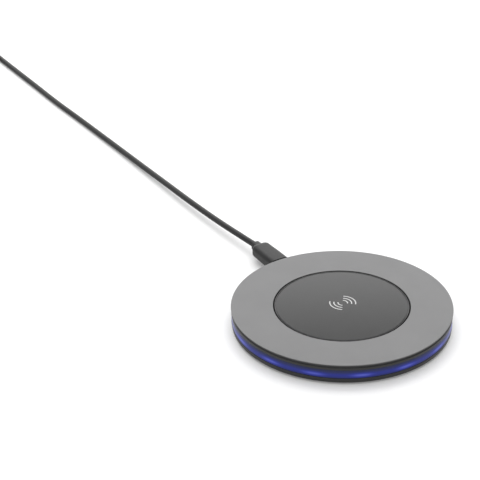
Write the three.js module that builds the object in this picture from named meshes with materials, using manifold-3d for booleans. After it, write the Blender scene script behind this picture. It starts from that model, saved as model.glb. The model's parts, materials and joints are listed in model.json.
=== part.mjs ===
// Round wireless charging pad with its detachable USB cable.
// Millimetres, +Z up. The origin lies under the centre of the pad, in the plane that its feet
// stand on. +Y points out of the USB socket, along the way the plug is pulled.

import * as THREE from 'three';
import { mergeVertices } from 'three/addons/utils/BufferGeometryUtils.js';
import Module from 'manifold-3d';

const wasm = await Module();
wasm.setup();

// ---------------------------------------------------------------- driving dimensions

const ROUND_STEPS = 72;              // facets round the pad
const SEAT = 0.05;                   // gap under a piece that sits on another

// heights in the stack, from the feet up
const FOOT_SINK = 1.0;               // foot thickness, half of it sunk in the case
const CASE_BOTTOM = 0.55;
const CASE_FLOOR = 1.75;
const CASE_RIM = 3.1;
const GUIDE_TOP = 7.2;
const HOUSING_RIM = 8.5;
const DECK_TOP = 9.45;
const RING_BOTTOM = 9.6;
const PAD_TOP = 10;
const DECK_UNDERSIDE = 7.8;
const LEDGE_TOP = 8.6;
const DISC_TOP = 9.85;
const RIB_TOP = 4.3;                 // rib inside the light guide

// radii of the pad
const PAD_R = 50;
const CASE_R = 49.85;
const GROOVE_R = 49.55;
const CASE_EDGE = [[48.6, CASE_BOTTOM], [49.3, 0.85], [49.65, 1.5]];   // up its rounded lower edge
const GUIDE_R = 49.75;
const GUIDE_WAIST = { r: 49.45, from: 5.2 };   // above this height the guide leans in to its top
const GUIDE_INNER_R = 47.6;
const WALL_INNER_R = 48.2;
const RIB_R = [46.7, 47.4];
const HOUSING_INNER_R = 47.2;
const RING_INNER_R = 31;
const RING_EDGE = 0.1;               // chamfer on the rims of the metal ring
const ADHESIVE_R = [33, 48.4];
const GASKET = { inner: 30.4, outer: 30.95, top: 9.4 };
const DISC_R = 30.35;
const DISC_EDGE = 0.1;
const DISC_GROOVE = { inner: 29.7, outer: 30, depth: 0.3 };
const DISC_SEAT_R = 31;
const LEDGE_INNER_R = 28.5;

// screws, feet and bosses
const SCREW_CIRCLE_R = 40;
const SCREW_ANGLES = [45, 135, 225, 315];
const FOOT_R = 5;
const POST_R = 3.5;
const POST_TOP = 3.2;
const BOSS_R = 2.5;
const SCREW_HEAD_R = 1.95;
const SCREW_HEAD_TOP = 2.1;
const SCREW_SHANK_R = 0.95;
const SCREW_TIP = 7;
const SCREW_SLOT = { length: 2.2, width: 0.5, depth: 0.5 };

// circuit board and the coil stack
const BOARD_R = 45.5;
const BOARD_BOTTOM = 3.2;
const BOARD_TOP = 4.2;
const FOAM_R = 24;
const FOAM_TOP = 6.1;
const FERRITE_R = 25.5;
const FERRITE_BOTTOM = 6.15;
const FERRITE_TOP = 6.95;
const WIRE_Z = 7.5;
const WIRE_SIDE = 0.9;
const COIL_OUTER_R = 22.2;
const COIL_INNER_R = 10.4;
const COIL_TURNS = 10;
const LEAD_SIDE = 0.6;
const LEAD_SLOT = { from: 7, width: 3.2 };
const LEAD_SLOT_ANGLE = 250;
const LEAD_ANGLE = 40;               // where the inner lead lies, seen from the start of the coil
const THERMISTOR = { r: 1.3, top: 7.9 };

// light-emitting diodes: the gap between the first and the last is where the socket sits
const LED_COUNT = 15;
const LED_PITCH = 360 / LED_COUNT;
const LED_R = 44.2;
const LED_SIZE = [1.6, 3.4, 1.6];

// USB socket and the plug in it
const PORT_Z = 5.6;
const PORT_BLOCK_HALF = 7.4;
const PORT_HOLE = { width: 7.9, height: 2.9, corner: 0.6 };
const SOCKET = { width: 7.5, height: 2.5, wall: 0.25, front: 49.2, back: 43.6 };
const TONGUE = { width: 3.7, length: 3.9, thick: 0.5, base: 1 };
const PLUG = { width: 10, height: 6.5, corner: 2.2, front: 50.3, shoulder: 71, end: 75 };
const PLUG_NECK = { width: 5, height: 4.8, corner: 2 };
const PLUG_TIP = { width: 6.85, height: 1.8, wall: 0.3, tip: 45.1, insulator: 1.3 };

// cord, its coil and the plug on its far end
const CORD_R = 1.5;
const CORD_SIDES = 8;
const CORD_ON_FLOOR = 1.55;
const COIL_CENTRE = [-25.6, 400];
const HANK = { inner: 12.4, outer: 21.6, bottom: 0.6, top: 6.7 };
const TIE = { width: 7, thick: 0.5, inner: 11.8, outer: 21.8, top: 6.8 };
const USB_A = { x: -48.5, z: 4, width: 15.5, height: 8, corner: 2, neck: 372.3, back: 363.3, front: 339.3 };
const USB_A_NECK = { width: 6.4, height: 5.6, corner: 2.4 };
const USB_A_SHELL = { width: 12, height: 4.5, wall: 0.3, tip: 320.5 };
const USB_A_TONGUE = { width: 11.2, thick: 1.7, bottom: -1.85, root: 4, setBack: 1.5 };

// ---------------------------------------------------------------- shape helpers

const radians = (degrees) => degrees * Math.PI / 180;
const onCircle = (r, degrees) => [r * Math.cos(radians(degrees)), r * Math.sin(radians(degrees))];

// a profile of [radius, height] points turned about the Z axis
function turned(profile, steps = ROUND_STEPS) {
  const points = profile.map(([r, z]) => new THREE.Vector2(r, z));
  return new THREE.LatheGeometry(points, steps).rotateX(Math.PI / 2);
}

// a closed ring profile repeats its first point
const turnedRing = (profile, steps = ROUND_STEPS) => turned([...profile, profile[0]], steps);

function cylinder(r, bottom, top, steps = 24) {
  return turned([[0, bottom], [r, bottom], [r, top], [0, top]], steps);
}

function roundedRectangle(width, height, corner) {
  const [x, y] = [width / 2, height / 2];
  const shape = new THREE.Shape();
  shape.moveTo(-x + corner, -y);
  shape.lineTo(x - corner, -y);
  shape.absarc(x - corner, -y + corner, corner, -Math.PI / 2, 0, false);
  shape.lineTo(x, y - corner);
  shape.absarc(x - corner, y - corner, corner, 0, Math.PI / 2, false);
  shape.lineTo(-x + corner, y);
  shape.absarc(-x + corner, y - corner, corner, Math.PI / 2, Math.PI, false);
  shape.lineTo(-x, -y + corner);
  shape.absarc(-x + corner, -y + corner, corner, Math.PI, 1.5 * Math.PI, false);
  return shape;
}

// an upright plate between two heights, its corners cut straight
function plate(shape, bottom, top) {
  const options = { depth: top - bottom, bevelEnabled: false, curveSegments: 1 };
  return new THREE.ExtrudeGeometry(shape, options).translate(0, 0, bottom);
}

// a bar along Y, with a rounded section that shrinks evenly to `taper` times its size at the far end
function bar({ width, height, corner, from, to, taper = 1 }) {
  const options = { depth: to - from, bevelEnabled: false, curveSegments: 3 };
  const body = new THREE.ExtrudeGeometry(roundedRectangle(width, height, corner), options);
  const position = body.attributes.position;
  for (let i = 0; i < position.count; i += 1) {
    const scale = 1 + (taper - 1) * position.getZ(i) / (to - from);
    position.setXY(i, position.getX(i) * scale, position.getY(i) * scale);
  }
  return body.rotateX(-Math.PI / 2).translate(0, from, 0);
}

function box(width, depth, height, [x, y, bottom]) {
  return new THREE.BoxGeometry(width, depth, height).translate(x, y, bottom + height / 2);
}

// the section of a tube's bore
function boreOf({ width, height, wall }, corner) {
  return { width: width - 2 * wall, height: height - 2 * wall, corner };
}

// a square or many-sided strand that follows a curve
function strand(curve, section, steps) {
  return new THREE.ExtrudeGeometry(section, { steps, extrudePath: curve, bevelEnabled: false });
}

function regularSection(r, sides) {
  const shape = new THREE.Shape();
  for (let i = 0; i < sides; i += 1) {
    const [x, y] = onCircle(r, (i + 0.5) * 360 / sides);
    if (i === 0) shape.moveTo(x, y);
    else shape.lineTo(x, y);
  }
  return shape;
}

const smoothCurve = (points) => new THREE.CatmullRomCurve3(points.map((p) => new THREE.Vector3(...p)));

function toSolid(geometry) {
  const bare = geometry.clone();
  bare.deleteAttribute('normal');
  bare.deleteAttribute('uv');
  const merged = mergeVertices(bare);
  const vertProperties = new Float32Array(merged.attributes.position.array);
  const triVerts = new Uint32Array(merged.index.array);
  const solid = new wasm.Manifold(new wasm.Mesh({ numProp: 3, vertProperties, triVerts }));
  return solid.volume() < 0 ? toSolid(flipped(merged)) : solid;
}

function flipped(geometry) {
  const index = Array.from(geometry.index.array);
  for (let i = 0; i < index.length; i += 3) {
    [index[i], index[i + 1]] = [index[i + 1], index[i]];
  }
  geometry.setIndex(index);
  return geometry;
}

function toGeometry(solid) {
  const { vertProperties, triVerts } = solid.getMesh();
  const geometry = new THREE.BufferGeometry();
  geometry.setAttribute('position', new THREE.BufferAttribute(vertProperties, 3));
  geometry.setIndex(new THREE.BufferAttribute(triVerts, 1));
  geometry.computeVertexNormals();
  return geometry;
}

const join = (...pieces) => toGeometry(pieces.map(toSolid).reduce((a, b) => a.add(b)));
const common = (a, b) => toGeometry(toSolid(a).intersect(toSolid(b)));

function cut(body, ...tools) {
  return toGeometry(tools.map(toSolid).reduce((a, b) => a.subtract(b), toSolid(body)));
}

// ---------------------------------------------------------------- materials

const LOOKS = {
  ringMetal: { color: 0x98989a, roughness: 0.36, metalness: 0.9 },
  blackPlastic: { color: 0x343436, roughness: 0.5, metalness: 0 },
  discPlastic: { color: 0x5c5c5e, roughness: 0.42, metalness: 0 },
  lightGuide: { color: 0x2d3296, roughness: 0.25, metalness: 0, emissive: 0x1c2080 },
  adhesive: { color: 0xc9c4b4, roughness: 0.8, metalness: 0 },
  rubber: { color: 0x2a2a2b, roughness: 0.85, metalness: 0 },
  steel: { color: 0xa9abad, roughness: 0.35, metalness: 1 },
  board: { color: 0x1d5a36, roughness: 0.5, metalness: 0 },
  foam: { color: 0x6d6d6a, roughness: 0.95, metalness: 0 },
  ferrite: { color: 0x3a3a3d, roughness: 0.7, metalness: 0.1 },
  copper: { color: 0xb06a3a, roughness: 0.4, metalness: 1 },
  chip: { color: 0x1c1c1e, roughness: 0.6, metalness: 0 },
  ceramic: { color: 0x9a7f62, roughness: 0.6, metalness: 0 },
  led: { color: 0xe8ecff, roughness: 0.3, metalness: 0, emissive: 0x2a30d0 },
  cordJacket: { color: 0x3c3c3e, roughness: 0.55, metalness: 0 },
  insulator: { color: 0x1e1e20, roughness: 0.5, metalness: 0 },
};

function addPiece(group, name, geometry, look) {
  const mesh = new THREE.Mesh(geometry, new THREE.MeshStandardMaterial(LOOKS[look]));
  mesh.name = name;
  group.add(mesh);
  return mesh;
}

// ---------------------------------------------------------------- casing

// one copy of a piece at each screw
const atScrews = (makePiece) => SCREW_ANGLES.map((angle) => {
  const [x, y] = onCircle(SCREW_CIRCLE_R, angle);
  return makePiece().translate(x, y, 0);
});

function trimRing() {
  return turnedRing([
    [RING_INNER_R, RING_BOTTOM], [PAD_R - RING_EDGE, RING_BOTTOM], [PAD_R, RING_BOTTOM + RING_EDGE],
    [PAD_R, PAD_TOP - RING_EDGE], [PAD_R - RING_EDGE, PAD_TOP],
    [RING_INNER_R + RING_EDGE, PAD_TOP], [RING_INNER_R, PAD_TOP - RING_EDGE],
  ]);
}

function ringAdhesive() {
  const [inner, outer] = ADHESIVE_R;
  return turnedRing([[inner, DECK_TOP], [outer, DECK_TOP], [outer, RING_BOTTOM], [inner, RING_BOTTOM]], 36);
}

// disc with a narrow rim, set off by a groove
function centreDisc() {
  const bottom = LEDGE_TOP + SEAT;
  const grooveFloor = DISC_TOP - DISC_GROOVE.depth;
  return turned([
    [0, bottom], [DISC_R, bottom], [DISC_R, DISC_TOP - DISC_EDGE], [DISC_R - DISC_EDGE, DISC_TOP],
    [DISC_GROOVE.outer, DISC_TOP], [DISC_GROOVE.outer, grooveFloor],
    [DISC_GROOVE.inner, grooveFloor], [DISC_GROOVE.inner, DISC_TOP], [0, DISC_TOP],
  ]);
}

// rubber ring that closes the joint between the disc and the metal ring
function discGasket() {
  const { inner, outer, top } = GASKET;
  const bottom = LEDGE_TOP + SEAT;
  return turnedRing([[inner, bottom], [outer, bottom], [outer, top], [inner, top]]);
}

// deck under the metal ring, with a ledge for the disc, a rim over the light guide and
// four hollow screw bosses
function upperHousing() {
  const rimBottom = GUIDE_TOP + SEAT;
  const shell = turnedRing([
    [CASE_R, rimBottom], [CASE_R, HOUSING_RIM], [GROOVE_R, HOUSING_RIM], [GROOVE_R, DECK_TOP],
    [DISC_SEAT_R, DECK_TOP], [DISC_SEAT_R, LEDGE_TOP], [LEDGE_INNER_R, LEDGE_TOP],
    [LEDGE_INNER_R, DECK_UNDERSIDE], [HOUSING_INNER_R, DECK_UNDERSIDE], [HOUSING_INNER_R, rimBottom],
  ]);
  const overlap = 0.5;
  const bosses = atScrews(() => cylinder(BOSS_R, POST_TOP + SEAT, DECK_UNDERSIDE + overlap, 16));
  const pilotHoles = atScrews(() => cylinder(SCREW_SHANK_R + 0.1, POST_TOP - 1, SCREW_TIP + 0.4, 12));
  return cut(join(shell, ...bosses), ...pilotHoles);
}

// the place of the block that frames the socket, `play` wider than the block itself
const portBlock = (play) => box(2 * PORT_BLOCK_HALF + play, 10, 8, [0, PAD_R, 1]);

// clear ring that spreads the light; it stops on both sides of the socket
function lightGuide() {
  const ring = turnedRing([
    [GUIDE_INNER_R, CASE_RIM + SEAT], [GUIDE_R, CASE_RIM + SEAT], [GUIDE_R, GUIDE_WAIST.from],
    [GUIDE_WAIST.r, GUIDE_TOP], [GUIDE_INNER_R, GUIDE_TOP],
  ]);
  return cut(ring, portBlock(0.4));
}

// dish with an outer wall, a rib that centres the light guide, screw posts, foot recesses and
// the block that frames the socket
function bottomCase() {
  const [ribInner, ribOuter] = RIB_R;
  const overlap = 0.5;
  const dish = turned([
    [0, CASE_BOTTOM], ...CASE_EDGE, [CASE_R, CASE_RIM], [WALL_INNER_R, CASE_RIM],
    [WALL_INNER_R, CASE_FLOOR], [ribOuter, CASE_FLOOR], [ribOuter, RIB_TOP], [ribInner, RIB_TOP],
    [ribInner, CASE_FLOOR], [0, CASE_FLOOR],
  ]);
  const wallRing = turnedRing([
    [ribInner, CASE_RIM - overlap], [CASE_R, CASE_RIM - overlap], [CASE_R, GUIDE_TOP], [ribInner, GUIDE_TOP],
  ]);
  const socketBlock = common(wallRing, portBlock(0));
  const posts = atScrews(() => cylinder(POST_R, CASE_FLOOR - overlap, POST_TOP, 20));
  const socketHole = bar({ ...PORT_HOLE, from: SOCKET.back, to: PAD_R + 2 }).translate(0, 0, PORT_Z);
  const footRecesses = atScrews(() => cylinder(FOOT_R + 0.15, 0, FOOT_SINK + SEAT, 20));
  const headRecesses = atScrews(() => cylinder(SCREW_HEAD_R + 0.25, 0, SCREW_HEAD_TOP + SEAT, 16));
  const screwHoles = atScrews(() => cylinder(SCREW_SHANK_R + 0.2, 0, POST_TOP + 1, 12));
  const solid = join(dish, socketBlock, ...posts);
  return cut(solid, socketHole, ...footRecesses, ...headRecesses, ...screwHoles);
}

function foot() {
  const edge = 0.3;
  return turned([[0, 0], [FOOT_R - edge, 0], [FOOT_R, edge], [FOOT_R, FOOT_SINK], [0, FOOT_SINK]], 20);
}

// cross-head screw, driven upward from the foot recess
function screw() {
  const bottom = FOOT_SINK + 0.15;
  const edge = 0.3;
  const body = turned([
    [0, bottom], [SCREW_HEAD_R - edge, bottom], [SCREW_HEAD_R, bottom + edge], [SCREW_HEAD_R, SCREW_HEAD_TOP],
    [SCREW_SHANK_R, SCREW_HEAD_TOP], [SCREW_SHANK_R, SCREW_TIP - 0.6], [edge, SCREW_TIP], [0, SCREW_TIP],
  ], 16);
  const { length, width, depth } = SCREW_SLOT;
  const slotBottom = [0, 0, bottom - depth];
  return cut(body, box(length, width, 2 * depth, slotBottom), box(width, length, 2 * depth, slotBottom));
}

// ---------------------------------------------------------------- electronics

function circuitBoard() {
  const disc = cylinder(BOARD_R, BOARD_BOTTOM + SEAT, BOARD_TOP, ROUND_STEPS);
  return cut(disc, ...atScrews(() => cylinder(BOSS_R + 0.3, BOARD_BOTTOM - 1, BOARD_TOP + 1, 20)));
}

// sheet under the coil, with a slot that the inner lead runs out through
function ferriteShield() {
  const { from, width } = LEAD_SLOT;
  const disc = cylinder(FERRITE_R, FERRITE_BOTTOM, FERRITE_TOP, 48);
  const slot = box(FERRITE_R, width, 3, [from + FERRITE_R / 2, 0, FERRITE_BOTTOM - 1]);
  return cut(disc, slot.rotateZ(radians(LEAD_SLOT_ANGLE)));
}

// flat spiral, evenly stepped in angle so that its neighbouring turns stay parallel
class FlatSpiral extends THREE.Curve {
  getPoint(t, target = new THREE.Vector3()) {
    const r = COIL_OUTER_R + (COIL_INNER_R - COIL_OUTER_R) * t;
    return target.set(...onCircle(r, 360 * COIL_TURNS * t), WIRE_Z);
  }

  getUtoTmapping(u) {
    return u;
  }
}

function chargingCoil() {
  return strand(new FlatSpiral(), regularSection(WIRE_SIDE / Math.SQRT2, 4), 16 * COIL_TURNS);
}

// a lead through [radius, angle, height] points, that ends standing on the board
function lead(route, steps) {
  const points = route.map(([r, angle, z]) => [...onCircle(r, angle), z]);
  return strand(smoothCurve(points), regularSection(LEAD_SIDE / 2, 6), steps);
}

// leaves the inner turn, dives through the slot and runs out under the coil
function innerLead() {
  const underCoil = 6.55;
  return lead([
    [COIL_INNER_R - 0.1, 3, 7.45], [9.5, 14, 7.42], [9, 25, 7.32], [9.1, 33, 7], [9.7, 38.5, 6.65],
    ...[11, 15, 20, 25, 27].map((r) => [r, LEAD_ANGLE, underCoil]),
    [27.9, LEAD_ANGLE, 5.6], [28.1, LEAD_ANGLE, BOARD_TOP + SEAT],
  ], 28);
}

function outerLead() {
  return lead([
    [22.4, -1.5, WIRE_Z], [23.4, -8, WIRE_Z], [25.2, -15, 7.45], [27, -20, 6.9], [28, -23, 5.6],
    [28.2, -24, BOARD_TOP + SEAT],
  ], 12);
}

// [name, look, [width, depth, height], [x, y]] of the parts soldered to the board
const BOARD_PARTS = [
  ['controller_chip', 'chip', [7, 7, 0.9], [-34, 4]],
  ['power_stage_1', 'chip', [5, 6, 1.1], [34, 9]],
  ['power_stage_2', 'chip', [5, 6, 1.1], [34, -1]],
  ['resonant_capacitor_1', 'ceramic', [5.7, 5, 2], [-8, -35]],
  ['resonant_capacitor_2', 'ceramic', [5.7, 5, 2], [0, -35]],
  ['resonant_capacitor_3', 'ceramic', [5.7, 5, 2], [8, -35]],
  ['input_inductor', 'ferrite', [6.5, 6.5, 3], [17, 32.5]],
  ['input_capacitor', 'ceramic', [3.2, 4, 2.4], [8.5, 34]],
];

function chipBody([width, depth, height]) {
  const bottom = BOARD_TOP + SEAT;
  return plate(roundedRectangle(width, depth, 0.3), bottom, bottom + height);
}

const sideLed = () => chipBody(LED_SIZE);

// ---------------------------------------------------------------- socket and plug

function socketShell() {
  const { width, height, wall, front, back } = SOCKET;
  const outside = bar({ width, height, corner: 0.5, from: back, to: front });
  const inside = bar({ ...boreOf(SOCKET, 0.3), from: back + wall, to: front + 1 });
  return cut(outside, inside).translate(0, 0, PORT_Z);
}

// plastic base that fills the back of the socket, and the blade that carries its contacts
function socketTongue() {
  const bore = boreOf({ ...SOCKET, wall: SOCKET.wall + SEAT }, 0.25);
  const back = SOCKET.back + SOCKET.wall + SEAT;
  const base = bar({ ...bore, from: back, to: back + TONGUE.base });
  const overlap = 0.2;
  const middle = back + TONGUE.base - overlap + TONGUE.length / 2;
  const blade = box(TONGUE.width, TONGUE.length, TONGUE.thick, [0, middle, -TONGUE.thick / 2]);
  return join(base, blade).translate(0, 0, PORT_Z);
}

function plugTipShell() {
  const { width, height, tip } = PLUG_TIP;
  const outside = bar({ width, height, corner: 0.4, from: tip, to: PLUG.front - SEAT });
  const inside = bar({ ...boreOf(PLUG_TIP, 0.2), from: tip - 1, to: PLUG.front + 1 });
  return cut(outside, inside).translate(0, 0, PORT_Z);
}

function plugInsulator() {
  const bore = boreOf({ ...PLUG_TIP, wall: PLUG_TIP.wall + SEAT }, 0.15);
  const front = PLUG.front - SEAT;
  return bar({ ...bore, from: front - PLUG_TIP.insulator, to: front }).translate(0, 0, PORT_Z);
}

// moulded grip: a block with rounded sides, a rounded shoulder and a tapered neck
function plugGrip() {
  const { width, height, corner, front, shoulder, end } = PLUG;
  const narrowing = 0.95;
  const rounding = 1.5;
  const rear = { width: width * narrowing, height: height * narrowing, corner };
  const block = bar({ width, height, corner, from: front, to: shoulder - rounding, taper: narrowing });
  const round = bar({ ...rear, from: shoulder - rounding, to: shoulder, taper: 0.78 });
  const neck = bar({ ...PLUG_NECK, from: shoulder - rounding, to: end, taper: 0.85 });
  return join(block, round, neck).translate(0, 0, PORT_Z);
}

// ---------------------------------------------------------------- cord and far plug

// the cord leaves the plug, sinks slowly to the surface and runs out along it
const CORD_ROUTE = [
  [0, 75.3, PORT_Z], [-0.55, 82, 5.5], [-1.05, 90, 5.25], [-1.55, 98, 5], [-1.93, 106, 4.75],
  [-2.24, 114, 4.53], [-2.5, 123, 4.3], [-2.7, 133, 4.05], [-2.78, 144, 3.75], [-2.77, 156, 3.41],
  [-2.74, 169, 3], [-2.73, 184, 2.53], [-2.76, 201, 2.12], [-2.95, 220, 1.81], [-3.35, 242, 1.62],
  [-3.95, 266, CORD_ON_FLOOR], [-4.8, 290, CORD_ON_FLOOR], [-5.05, 322, CORD_ON_FLOOR],
  [-5.3, 345, CORD_ON_FLOOR], [-5.5, 365, CORD_ON_FLOOR], [-5.6, 378, 1.6], [-5.6, 388, 1.65],
];
const CORD_TAIL = [[-45.9, 389, 4.7], [-46.6, 383.5, 4.55], [-47.6, 378, 4.3], [-48.3, 372.6, 4.05]];

const cordRun = () => strand(smoothCurve(CORD_ROUTE), regularSection(CORD_R, CORD_SIDES), 46);
const cordTail = () => strand(smoothCurve(CORD_TAIL), regularSection(CORD_R, CORD_SIDES), 4);

// outer form of the wound cord: six turns, three side by side in two layers
function cordCoil() {
  const { inner, outer, bottom, top } = HANK;
  const edge = 1;
  const ring = turnedRing([
    [inner, bottom + edge], [inner + edge, bottom], [outer - edge, bottom], [outer, bottom + edge],
    [outer, top - edge], [outer - edge, top], [inner + edge, top], [inner, top - edge],
  ], 48);
  return ring.translate(...COIL_CENTRE, 0);
}

// strap once round the wound cord, on the side away from the pad
function cableTie() {
  const { width, thick, inner, outer, top } = TIE;
  const middle = [COIL_CENTRE[0], COIL_CENTRE[1] + (inner + outer) / 2, 0];
  const span = outer - inner;
  const strap = box(width, span + 2 * thick, top + thick, middle);
  const opening = box(width + 2, span, top - thick, [middle[0], middle[1], thick]);
  return cut(strap, opening);
}

function usbAGrip() {
  const { x, z, width, height, corner, neck, back, front } = USB_A;
  const overlap = 0.5;
  const block = bar({ width, height, corner, from: front, to: back, taper: 0.93 });
  const relief = bar({ ...USB_A_NECK, from: back - overlap, to: neck, taper: 0.72 });
  return join(block, relief).translate(x, 0, z);
}

function usbAShell() {
  const { x, z, front } = USB_A;
  const { width, height, tip } = USB_A_SHELL;
  const outside = bar({ width, height, corner: 0.6, from: tip, to: front - SEAT });
  const inside = bar({ ...boreOf(USB_A_SHELL, 0.35), from: tip - 1, to: front + 1 });
  const windows = [-3, 3].map((side) => box(2.4, 2.2, 2 * height, [side, front - 10, -height]));
  return cut(outside, inside, ...windows).translate(x, 0, z);
}

// plastic tongue that fills the lower half of the shell's mouth, and its root inside the shell
function usbAInsulator() {
  const { x, z, front } = USB_A;
  const { width, thick, bottom, root, setBack } = USB_A_TONGUE;
  const from = USB_A_SHELL.tip + setBack;
  const to = front - 0.2;
  const tongue = box(width, to - from, thick, [0, (from + to) / 2, bottom]);
  const fullHeight = box(width, root, -2 * bottom, [0, to - root / 2, bottom]);
  return join(tongue, fullHeight).translate(x, 0, z);
}

// ---------------------------------------------------------------- assembly

const pad = new THREE.Group();
addPiece(pad, 'trim_ring', trimRing(), 'ringMetal');
addPiece(pad, 'ring_adhesive', ringAdhesive(), 'adhesive');
addPiece(pad, 'centre_disc', centreDisc(), 'discPlastic');
addPiece(pad, 'disc_gasket', discGasket(), 'rubber');
addPiece(pad, 'upper_housing', upperHousing(), 'blackPlastic');
addPiece(pad, 'light_guide', lightGuide(), 'lightGuide');
addPiece(pad, 'bottom_case', bottomCase(), 'blackPlastic');
SCREW_ANGLES.forEach((angle, i) => {
  const [x, y] = onCircle(SCREW_CIRCLE_R, angle);
  addPiece(pad, `foot_${i + 1}`, foot(), 'rubber').position.set(x, y, 0);
  addPiece(pad, `case_screw_${i + 1}`, screw(), 'steel').position.set(x, y, 0);
});

const electronics = new THREE.Group();
addPiece(electronics, 'circuit_board', circuitBoard(), 'board');
addPiece(electronics, 'foam_pad', cylinder(FOAM_R, BOARD_TOP + SEAT, FOAM_TOP, 48), 'foam');
addPiece(electronics, 'ferrite_shield', ferriteShield(), 'ferrite');
const thermistor = cylinder(THERMISTOR.r, FERRITE_TOP + SEAT, THERMISTOR.top, 12);
addPiece(electronics, 'coil_thermistor', thermistor, 'chip');
BOARD_PARTS.forEach(([name, look, size, [x, y]]) => {
  addPiece(electronics, name, chipBody(size), look).position.set(x, y, 0);
});
for (let i = 0; i < LED_COUNT; i += 1) {
  const angle = 90 + LED_PITCH * (i + 0.5);
  const led = addPiece(electronics, `side_led_${i + 1}`, sideLed(), 'led');
  led.position.set(...onCircle(LED_R, angle), 0);
  led.rotation.z = radians(angle);
}
addPiece(electronics, 'socket_shell', socketShell(), 'steel');
addPiece(electronics, 'socket_tongue', socketTongue(), 'insulator');

// the coil and its leads turn together, so that the inner lead meets the slot in the ferrite
const windings = new THREE.Group();
windings.rotation.z = radians(LEAD_SLOT_ANGLE - LEAD_ANGLE);
addPiece(windings, 'charging_coil', chargingCoil(), 'copper');
addPiece(windings, 'coil_lead_inner', innerLead(), 'copper');
addPiece(windings, 'coil_lead_outer', outerLead(), 'copper');
electronics.add(windings);
pad.add(electronics);

const cable = new THREE.Group();
addPiece(cable, 'plug_grip', plugGrip(), 'cordJacket');
addPiece(cable, 'plug_tip_shell', plugTipShell(), 'steel');
addPiece(cable, 'plug_insulator', plugInsulator(), 'insulator');
addPiece(cable, 'cord_run', cordRun(), 'cordJacket');
addPiece(cable, 'cord_coil', cordCoil(), 'cordJacket');
addPiece(cable, 'cord_tail', cordTail(), 'cordJacket');
addPiece(cable, 'cable_tie', cableTie(), 'rubber');
addPiece(cable, 'usb_a_grip', usbAGrip(), 'cordJacket');
addPiece(cable, 'usb_a_shell', usbAShell(), 'steel');
addPiece(cable, 'usb_a_insulator', usbAInsulator(), 'insulator');

const chargingPad = new THREE.Group();
chargingPad.add(pad, cable);

export default chargingPad;
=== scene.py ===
"""Wireless charging pad: fine surfaces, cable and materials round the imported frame.

Lengths are written in millimetres and become metres through MM. +Z is up, +Y leaves the USB socket.
"""

import json
import math

import bmesh
import bpy
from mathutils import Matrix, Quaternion, Vector


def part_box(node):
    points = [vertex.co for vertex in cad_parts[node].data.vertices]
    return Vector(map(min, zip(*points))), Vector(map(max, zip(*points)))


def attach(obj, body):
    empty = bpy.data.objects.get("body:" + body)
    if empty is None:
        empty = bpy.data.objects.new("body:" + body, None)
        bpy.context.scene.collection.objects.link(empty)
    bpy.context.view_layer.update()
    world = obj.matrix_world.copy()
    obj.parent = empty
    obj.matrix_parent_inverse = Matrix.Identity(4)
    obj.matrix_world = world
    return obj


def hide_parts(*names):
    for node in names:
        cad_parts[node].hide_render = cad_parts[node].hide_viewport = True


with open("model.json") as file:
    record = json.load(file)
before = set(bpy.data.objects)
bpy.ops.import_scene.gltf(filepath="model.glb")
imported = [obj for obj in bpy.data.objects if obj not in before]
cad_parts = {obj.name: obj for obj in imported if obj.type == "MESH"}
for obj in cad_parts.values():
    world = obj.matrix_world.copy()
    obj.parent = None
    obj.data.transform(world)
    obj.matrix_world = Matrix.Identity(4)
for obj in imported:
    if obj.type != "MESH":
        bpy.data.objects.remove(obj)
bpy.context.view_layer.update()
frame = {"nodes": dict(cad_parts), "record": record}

MM = 0.001
TURN = 2 * math.pi

# ---------------------------------------------------------------- sizes, in millimetres

def reach(node):
    """Outer radius, bottom and top of a round CAD node that is centred on the Z axis."""
    low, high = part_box(node)
    return high.x / MM, low.z / MM, high.z / MM


PAD_R, RING_BOTTOM, PAD_TOP = reach("trim_ring")
RING_INNER_R = 31.0

DISC_R, DISC_BOTTOM, DISC_TOP = reach("centre_disc")
DISC_GROOVE_R = (29.7, 30.0)         # inner and outer radius
DISC_GROOVE_DEPTH = 0.3
DISC_SEAT_R = RING_INNER_R

GASKET_R = (30.4, 30.95)
GASKET_TOP = reach("disc_gasket")[2]
GASKET_GAP = 0.05                    # between the gasket and the ledge that it lies on

LEDGE_INNER_R = 28.5                 # the upper housing's ledge under the disc's edge
LEDGE_BOTTOM = 7.8
LEDGE_TOP = 8.6
DECK_TOP = 9.45                      # the upper housing's face under the metal ring
HOUSING_SKIRT_R = 47.2
HOUSING_RIM = 8.5
HOUSING_GAP = 0.05                   # between the lit band and the upper housing
GROOVE_R = 49.55                     # floor of the shadow groove under the metal ring

GUIDE_R, GUIDE_BOTTOM, GUIDE_TOP = reach("light_guide")
GUIDE_INNER_R = 47.6
GUIDE_WAIST_R = 49.45                # the lit band narrows to this at its top
GUIDE_WAIST_FROM = 5.2
GUIDE_END_GAP = 0.25                 # degrees between each end of the lit band and the socket's block

CASE_R, CASE_BOTTOM, _ = reach("bottom_case")
CASE_FLOOR = 1.75
CASE_RIM = 3.1
CASE_EDGE = ((48.9, CASE_BOTTOM, 0.5), (49.6, 1.2, 0.6))     # radius, height and fillet
CASE_WALL_R = 48.2
CASE_RIB_R = (46.7, 47.4)            # the rib behind the lit band
CASE_RIB_TOP = 4.3
CASE_SEAM_R = (45.9, 46.4)           # the fine groove in the underside
CASE_SEAM_DEPTH = 0.25

FOOT_R = 5.0
FOOT_TOP = 1.0
FOOT_DISH_R = (3.2, 3.45)
FOOT_DISH_DEPTH = 0.12
FOOT_RECESS_GAP = (0.15, 0.05)       # round the foot and above it

PORT_Z = 5.6
PORT_HALF_SIZE = (3.95, 1.45)
PORT_DEPTH = (45, 52)                # along Y
PORT_HALF_ANGLE = 8.5                # of the block that holds the socket
PORT_BLOCK_R = 46.8
PORT_BLOCK_BOTTOM = 2.5

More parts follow.
